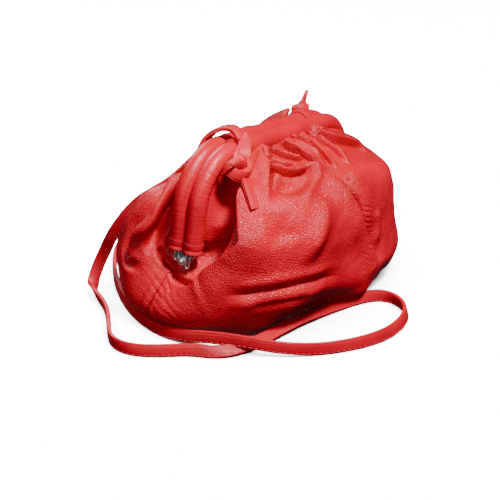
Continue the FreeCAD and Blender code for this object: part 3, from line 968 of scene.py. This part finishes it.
def front_folds(skin):
    """The folds of the front half, each as (angle round the pouch, height) places."""
    wrinkled(skin, 5, 0.8)
    # A narrow fold stands beside the front roll's near leg, and a deep hollow beyond it.
    skin.cavity([(-167, 93), (-166.7, 82), (-165.2, 70), (-164.2, 60), (-166, 50), (-169, 41),
                 (-174, 35)], 30.0, 7.4, 0.15, 0.2)
    skin.ridge([(-172, 98), (-172, 84), (-171.5, 68), (-172, 54), (-174, 42), (-178, 34)],
               6.5, 2.1, 0.1, 0.1)
    # The leather folds sharply under the hinge.
    skin.trough([(-180, 34), (-174, 31), (-168, 31.5), (-163, 37), (-160, 44)], 4.5, 2.0, 0.0, 0.3)
    # The belly's near edge overhangs that hollow.
    skin.flap([(-156.5, 93), (-155.5, 84), (-152.5, 70), (-150.5, 60), (-152.5, 51), (-155.5, 43),
               (-160, 36), (-166, 29)], 5.0, 10.0, lean=1.25, groove=0.3, toward=1, start=0.15, end=0.2)
    skin.overlap([(-161, 34), (-167, 29), (-172, 24), (-175, 16), (-176, 8)], 2.2, 12.0, 2.4, toward=1)
    # A smooth lobe hangs beside the knot, and its edge stands over a dark dent.
    skin.flap([(-155, 101.5), (-150, 98.5), (-147.5, 93), (-146, 87), (-146, 82)], 4.0, 6.0,
              lean=0.4, groove=1.5, toward=-1, end=0.5)
    # Lips that start at the roll and curve away to the right, each over a dark gap.
    skin.flap([(-154, 101.6), (-147.5, 98.6), (-140, 96.2), (-131, 94.6), (-120, 93.8), (-108, 93.6),
               (-101, 92.5)], 5.2, 2.6, lean=0.5, groove=1.4, toward=1, start=0.05, end=0.25)
    skin.trough([(-145, 99.6), (-137, 98.0), (-127, 96.6), (-114, 95.6)], 7.5, 1.5, 0.1, 0.3)
    skin.flap([(-148, 102), (-138, 100.8), (-124, 98.9), (-110, 97.2), (-99, 95.8)], 4.4, 2.3,
              lean=0.5, groove=0.8, toward=1, start=0.05, end=0.3)
    skin.trough([(-126, 101.2), (-117, 100.4), (-106, 99.0), (-97, 97.2), (-93, 94)], 4.5, 1.6, 0.3)
    skin.flap([(-114, 102), (-104, 100.6), (-95, 98), (-90.5, 94.5), (-90, 89)], 4.2, 2.4,
              lean=0.5, groove=0.9, toward=1, start=0.05, end=0.5)
    # The belly's far edge, and the long fold beyond it with a dark gap between them.
    skin.overlap([(-97, 96), (-93, 91), (-92, 83), (-89, 74), (-83, 60), (-76, 48), (-70, 38),
                  (-62, 20)], 4.0, 9.0, 6.0, toward=-1, start=0.1, end=0.1, lean=2.2)
    skin.ridge([(-76, 101.6), (-81.5, 98.5), (-84.5, 94), (-85, 88), (-82.5, 81), (-79.5, 73),
                (-77, 66)], 6.0, 2.6, 0.05, 0.3)
    # Pleats run from the far part of the roll towards that fold.
    for stroke, height, width, lean, groove in (
            ([(-50, 101.8), (-66, 98.5), (-73, 96), (-80, 91.5)], 4.2, 2.6, 0.7, 1.1),
            ([(-36, 101.5), (-50, 98.8), (-62, 95), (-70, 90)], 3.8, 2.8, 0.7, 1.0),
            ([(-25, 101.5), (-36, 98.5), (-46, 94.5), (-55, 89)], 3.4, 3.0, 0.6, 0.9),
            ([(-21, 101.5), (-26, 98), (-25, 94), (-30, 88)], 4.0, 5.0, 0.5, 0.8)):
        skin.flap(stroke, height, width, lean=lean, groove=groove, toward=1)
    # The far lobe is full and smooth, with wrinkled leather above it and beside the overlap.
    skin.overlap([(-78, 83), (-68, 86.5), (-48, 86), (-29, 80)], 2.6, 13.0, 3.0, toward=-1, lean=0.6)
    skin.ridge([(-65, 66), (-62, 54), (-64, 38)], 2.2, 4.0)
    skin.crumple((-74, 58), -14, 6.0, 18.0, 3.2, 2.0)
    skin.crumple((-58, 90), -10, 14.0, 5.0, 3.4, 0.8)
    # The wrinkled dent below the lips.
    skin.dent((-132, 90), 8.0, 13.0, 7.0)
    skin.ridge([(-112, 93.6), (-102, 92.6), (-105, 90), (-113, 88), (-122, 85), (-128, 81)], 3.6, 4.0,
               0.1, 0.3)
    skin.ridge([(-106, 82), (-112, 75), (-118, 65), (-122, 54), (-127, 47)], 4.0, 6.5, 0.4, 0.4)
    skin.dent((-138, 70), 3.0, 11.0, 10.0)
    skin.crumple((-131, 82), -34, 17.0, 8.0, 3.3, 1.7)
    skin.crumple((-121, 88), 40, 7.0, 6.0, 3.1, 0.6)
    skin.dent((-136, 66), 1.6, 9.0, 5.0)
    skin.crumple((-140, 67), -12, 9.0, 5.0, 3.6, 0.7)
    # Creases slant down from the hinge to the floor, across the end.
    skin.crumple((-176, 24), -24, 16.0, 12.0, 5.0, 1.6)
    # A soft crease runs along the bottom, with the fuller corner under it.
    skin.crease([(-152, 31), (-144, 31.5), (-135, 33), (-122, 34), (-104, 33.5), (-90, 31)], 2.8, 3.0)
    skin.crease([(-140, 25), (-125, 26), (-112, 26)], 1.2, 2.6)
    skin.dent((-139, 6), -5.0, 18.0, 9.0)
    skin.dent((-112, 12), 7.0, 24.0, 5.5)
    skin.dent((-68, 12), -6.0, 15.0, 12.0)
    gathers(skin, 21, 7.0, -178, -160, 22, 1.6)
    gathers(skin, 22, 6.0, -96, -60, 9, 1.6)
    gathers(skin, 23, 8.0, -18, -2, 30, 2.4)


def rear_folds(skin):
    """The rear half: gathered all along its roll, with a lobe and a hollow at its near end."""
    wrinkled(skin, 57, 1.0)
    # Near end: a hollow beside the leg, a curled fold round it, a groove, and the outer lobe.
    skin.trough([(169, 82), (169, 70), (169, 60), (169, 50), (169, 42), (172, 37)], 9.0, 3.4, 0.3, 0.3)
    skin.ridge([(163, 86), (164, 79), (165.5, 70), (166, 60), (165, 52), (163, 44), (165, 39)],
               4.5, 3.2, 0.15, 0.3)
    skin.trough([(161, 80), (162, 70), (160.5, 60), (158, 48), (159, 37), (165, 31), (172, 31)],
                7.0, 3.6, 0.2, 0.3)
    skin.ridge([(158, 78), (154, 66), (150, 52), (149, 40), (152, 31), (160, 26)], 3.6, 6.0)
    skin.dent((150, 87), 4.0, 16.0, 9.0)
    skin.crumple((-176, 24), -24, 16.0, 12.0, 5.0, 1.6)
    skin.crumple((162, 52), 60, 14.0, 5.0, 3.2, 1.1)
    skin.trough([(180, 34), (174, 37), (170, 43)], 4.5, 2.0, 0.0, 0.4)
    gathers(skin, 31, 8.0, 156, 12, 26, 3.6)
    gathers(skin, 32, 5.5, 152, 20, 12, 2.0)
    # Four long pleats hang below the gathers.
    for stroke, height, width, toward, end in (
            ([(112, 98), (108, 86), (100, 70), (92, 52), (90, 40)], 4.8, 8.0, 1, 0.4),
            ([(62, 97), (60, 84), (66, 66), (70, 52)], 4.2, 7.0, -1, 0.4),
            ([(134, 96), (130, 84), (126, 72), (125, 60)], 4.0, 6.5, -1, 0.5),
            ([(36, 96), (34, 84), (38, 66), (42, 50)], 3.8, 6.5, 1, 0.5)):
        skin.flap(stroke, height, width, 0.6, 0.7, toward, 0.2, end)
    skin.crease([(130, 32), (110, 28), (90, 30), (66, 28)], 2.4, 3.0)
    skin.dent((85, 50), -2.5, 30.0, 20.0)
    # Close to the roll the gathers are pulled flat.
    skin.push *= (0.3 + 0.7 * smoothstep(0.0, 14.0, skin.depth))[..., None]


def seams(skin):
    """The two halves are joined with a turned seam down each end, which sits in a groove."""
    for angle in (-180, 0) if skin.front else (180, 0):
        distance, share, _ = skin.beside([(angle, 42), (angle, 30), (angle, 15), (angle, 0)])
        fade = smoothstep(0.1, 0.5, share)
        skin.offset(fade * (0.7 * bell(np.abs(distance) - 2.6, 1.8)
                            - 0.9 * bell(distance, 0.9)))


def drawn_to_legs(points):
    """At each end the gathered edge is drawn out into the backs of the rolls' legs."""
    local = to_frame(points.reshape(-1, 3))
    rise = ARCH_HEIGHT - CORNER_RADIUS
    up = np.clip(local[:, 2] - rise, 0, CORNER_RADIUS)
    arch = HALF_SPAN - CORNER_RADIUS + np.sqrt(CORNER_RADIUS ** 2 - up ** 2)
    share = (smoothstep(12.5, 7.0, np.abs(local[:, 1])) * smoothstep(7.0, 15.0, local[:, 2])
             * smoothstep(66.0, 58.0, local[:, 2]) * (np.abs(local[:, 0]) > 40))
    target = np.sign(local[:, 0]) * (arch - 3.5)
    reach = np.where(np.abs(local[:, 0]) < np.abs(target), target, local[:, 0])
    local[:, 0] = local[:, 0] * (1 - share) + reach * share
    return from_frame(local).reshape(points.shape)


def tucked(points):
    """Adds rows that tuck the top edge under its roll, and rows that close the base."""
    local = to_frame(points[0])
    side = np.sign(np.mean(local[:, 1]))
    above = []
    for share in (1.0, 0.66, 0.33):
        row = local.copy()
        under = side * ROLL_RADIUS * np.clip(np.abs(local[:, 1]) / ROLL_RADIUS, 0, 1)
        row[:, 1] = local[:, 1] * (1 - share) + under * share
        row[:, 2] = local[:, 2] + 1.2 * share
        above.append(from_frame(row))
    below = []
    for share in np.linspace(0.12, 1.0, 8):
        row = points[-1].copy()
        row[:, 1] *= 1 - share
        row[:, 2] = 0.0
        below.append(row)
    return np.concatenate([np.array(above), points, np.array(below)])


def thick_sheet(name, outer, thickness, material):
    """A closed sheet: the given surface and a second one inside it, joined round the rim."""
    rows, columns = outer.shape[:2]
    inner = outer - grid_normals(outer) * thickness
    inner[..., 2] = np.maximum(inner[..., 2], np.minimum(outer[..., 2] + thickness, thickness))
    points = np.concatenate([outer.reshape(-1, 3), inner.reshape(-1, 3)])
    faces = grid_faces(rows, columns)
    shift = rows * columns
    back = [tuple(shift + i for i in reversed(face)) for face in faces]
    rim = (list(range(columns)) + [r * columns + columns - 1 for r in range(1, rows)]
           + [(rows - 1) * columns + c for c in range(columns - 2, -1, -1)]
           + [r * columns for r in range(rows - 2, 0, -1)])
    edge = [(a, a + shift, b + shift, b) for a, b in zip(rim, rim[1:] + rim[:1])]
    piece = add_mesh(name, points, faces + back + edge, material)
    first = piece.data.polygons[columns // 2 + columns * (rows // 2)]
    if first.normal.dot(Vector(first.center) - Vector((0, 0, 0.05))) < 0:
        piece.data.flip_normals()
    return piece


def lining_places(skin):
    """The lining hangs slack inside the leather, clear of its deepest folds."""
    coarse = slice(None, None, 3)
    inward = np.minimum(np.sum(skin.push * skin.normal, axis=-1), 0.0)[coarse, coarse]
    for _ in range(4):
        widest = inward.copy()
        widest[1:] = np.minimum(widest[1:], inward[:-1])
        widest[:-1] = np.minimum(widest[:-1], inward[1:])
        widest[:, 1:] = np.minimum(widest[:, 1:], inward[:, :-1])
        widest[:, :-1] = np.minimum(widest[:, :-1], inward[:, 1:])
        inward = widest
    amount = np.repeat((inward - LINING_GAP)[..., None], 3, axis=-1)
    for _ in range(6):
        amount[1:-1, 1:-1] = neighbour_mean(amount)
    points = skin.base[coarse, coarse] + skin.normal[coarse, coarse] * amount
    if not skin.front:
        # At the hinges it stays behind the front roll's leg and strips as they swing down.
        local = to_frame(points.reshape(-1, 3))
        level = bell(local[:, 2] + 2.0, 16.0)
        near = smoothstep(58.0, 74.0, np.abs(local[:, 0])) * level
        behind = np.sign(local[:, 1].mean())
        local[:, 1] = behind * np.maximum(behind * local[:, 1], LEG_ROOM * near)
        points = from_frame(local).reshape(points.shape)
    points[..., 2] = np.maximum(points[..., 2], LINING_LOWEST)
    return points


def pushed_by(points, normal, line, gap):
    """Leather under a strap gives way: nothing is left nearer to the strap's line than gap."""
    for place in line[::3]:
        away = np.linalg.norm(points - place, axis=-1)
        points -= normal * (np.maximum(gap - away, 0.0) * 0.8)[..., None]
    return points


def make_half(front, strap_points):
    """The leather and the lining of the front or the rear half."""
    rows, columns = ((260, 520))
    skin = Leather(front, rows, columns)
    (front_folds if front else rear_folds)(skin)
    seams(skin)
    points = pushed_by(drawn_to_legs(skin.smoothed(2)), skin.normal, strap_points,
                       STRAP_GAP)
    points[..., 2] = np.maximum(points[..., 2], 0.0)
    name = "front" if front else "rear"
    panel = thick_sheet(f"{name}_gathered_leather", tucked(points), LEATHER_THICK,
                        POUCH_LEATHER)
    inner = lining_places(skin)
    lining = thick_sheet(f"{name}_lining_cloth", inner, LINING_THICK, LINING)
    for piece, node, label in ((panel, f"{name}_panel", "pouch_leather"),
                               (lining, f"{name}_lining", "lining_cloth")):
        if front:
            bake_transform(piece)
        else:
            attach(piece, POUCH)
        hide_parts(node)
    return inner


def make_facing(name, side, body, node):
    """A leather facing hangs inside the mouth under each roll, sewn along its free edge."""
    _, centre, _, outward, _ = arch_frame(300)
    keep = centre[:, 2] > 10.0
    centre, outward = centre[keep], outward[keep]
    rows = []
    for share in np.linspace(0, 1, 10):
        row = centre - outward * (5.4 + 13.5 * share)
        row[:, 1] = side * (4.6 + 0.25 * np.sin(np.arange(len(centre)) / 9.0) * share)
        rows.append(from_frame(row))
    outer = np.array(rows)
    stand_in(thick_sheet(name, outer, FACING_THICK, ROLL_LEATHER), body, node)
    line = outer[8]
    way = unit(np.gradient(line, axis=0))
    up = np.tile(FRAME_TURN @ np.array([0.0, -side, 0.0]), (len(line), 1))
    sewn = stitches(f"{name}_stitches", line, way, np.cross(up, way), up, 0.0, 0.3, pitch=4.0)
    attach(sewn, body)


def make_pocket(lining):
    """A slip pocket is sewn flat on the rear lining, with a bound top edge that gapes a little."""
    rows, columns = 24, 44
    points = np.zeros((rows, columns, 3))
    low, high = (np.array(corner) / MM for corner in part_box("inner_pocket"))
    flat = lining.reshape(-1, 3)
    for row, up in enumerate(np.linspace(high[2] - 1, low[2] + 1, rows)):
        for column, x in enumerate(np.linspace(low[0] + 2, high[0] - 2, columns)):
            near = flat[np.argsort((flat[:, 0] - x) ** 2 + (flat[:, 2] - up) ** 2)[:4]]
            gape = 1.6 * math.sin(math.pi * column / (columns - 1)) * max(0, 1 - row / 9)
            points[row, column] = (x, near[:, 1].mean() - 1.4 - gape, up)
    for _ in range(4):
        points[1:-1, 1:-1, 1] = neighbour_mean(points[..., 1])
    piece = thick_sheet("inner_slip_pocket", points, 0.6, LINING)
    stand_in(piece, POUCH, "inner_pocket")


# ---- metal, foam, floor, light
def finish_cad_nodes():
    """The frame's own parts keep their shapes and take detailed materials."""
    choice = {"bow": STEEL, "padding": FOAM, "hinge": NICKEL, "magnets": STEEL}
    for name, node in frame["nodes"].items():
        for word, material in choice.items():
            if word in name:
                mesh = node.data
                mesh.materials.clear()
                mesh.materials.append(material)
                if word in ("hinge", "bow"):
                    mesh.polygons.foreach_set("use_smooth", [False] * len(mesh.polygons))


def make_floor():
    """A wide sheet of white paper, just under the bag."""
    reach = 3000
    corners = [(-reach, -reach, 0), (reach, -reach, 0), (reach, reach, 0), (-reach, reach, 0)]
    piece = add_mesh("floor", corners, [(0, 1, 2, 3)], floor_material(), smooth=False)
    piece.location.z = -0.0003
    piece.visible_diffuse = False
    piece.visible_glossy = False
    return piece


def area_light(name, place, size, watts):
    """A round soft light that points at the bag."""
    data = bpy.data.lights.new(name, "AREA")
    data.shape = "DISK"
    data.size = size
    data.energy = watts
    lamp = bpy.data.objects.new(name, data)
    lamp.location = place
    aim = Vector((0, 0, 0.05)) - Vector(place)
    lamp.rotation_euler = aim.to_track_quat("-Z", "Y").to_euler()
    SCENE.collection.objects.link(lamp)


def make_light(floor):
    """A key from above in front, fills at the near end and behind, and a sun for the floor."""
    world = bpy.data.worlds.new("studio")
    world.use_nodes = True
    sky = world.node_tree.nodes["Background"]
    sky.inputs["Color"].default_value = (1, 1, 1, 1)
    sky.inputs["Strength"].default_value = 0.07
    SCENE.world = world
    area_light("key", (-0.17, -0.48, 1.05), 0.24, 33.0)
    area_light("near_end_fill", (-1.05, -0.10, 0.52), 0.50, 4.0)
    area_light("rear_fill", (0.40, 0.95, 0.80), 0.60, 12.0)
    floor_only = bpy.data.collections.new("floor_light_receivers")
    floor_only.objects.link(floor)
    data = bpy.data.lights.new("floor_light", "SUN")
    data.energy = 46.0
    data.angle = math.radians(75)
    lamp = bpy.data.objects.new("floor_light", data)
    SCENE.collection.objects.link(lamp)
    lamp.light_linking.receiver_collection = floor_only


make_camera()
STRAP_POINTS = make_straps()
make_near_knot()
make_far_knot()
make_loop("near_strap_loop", -1, -46.0, FRONT, "near_loop")
make_loop("far_strap_loop", 1, 46.0, POUCH, "far_loop")
make_roll("front_roll", -1, FRONT, "front_roll_cover", 3)
make_roll("rear_roll", 1, POUCH, "rear_roll_cover", 4)
make_half(True, STRAP_POINTS)
make_pocket(make_half(False, STRAP_POINTS))
make_facing("front_mouth_leather", -1, FRONT, "front_mouth_facing")
make_facing("rear_mouth_leather", 1, POUCH, "rear_mouth_facing")
make_hinge_trim("near", -1)
make_hinge_trim("far", 1)
finish_cad_nodes()
make_light(make_floor())
